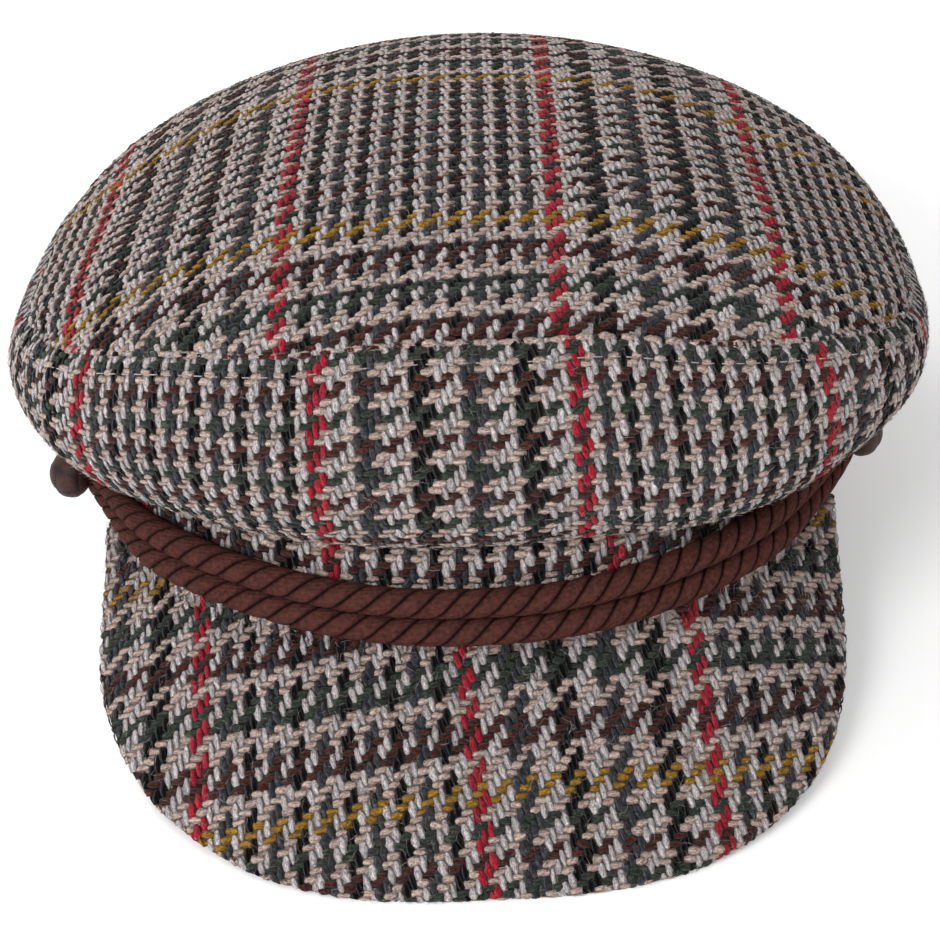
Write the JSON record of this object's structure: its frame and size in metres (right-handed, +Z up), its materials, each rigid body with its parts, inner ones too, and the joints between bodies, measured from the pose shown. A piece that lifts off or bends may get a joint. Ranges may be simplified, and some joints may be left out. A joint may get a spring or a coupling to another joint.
{
  "type": "fiddler cap",
  "caption": "Soft-crowned fiddler cap in checked woollen tweed, with a headband, an arched stiff peak, and twisted cords held by woven leather buttons.",
  "frame": {"origin": "middle of the resting cap's box, on the surface that it rests on", "axes": "+Z up, +Y to the back of the cap, so the peak points to -Y, and +X to the viewer's right as seen from the front"},
  "size_m": [0.2435, 0.2738, 0.1308],
  "materials": {
    "tweed": "checked 2/2 twill wool tweed, matt and slightly hairy",
    "cord": "twisted brown cotton cord, matt",
    "button_leather": "woven brown leather, soft sheen"
  },
  "bodies": {
    "root": {"crown_top": "tweed", "side_front": "tweed", "side_back": "tweed", "band": "tweed", "peak": "tweed", "cord_lower": "cord", "cord_upper": "cord", "button_left": "button_leather", "button_right": "button_leather"}
  },
  "joints": []
}
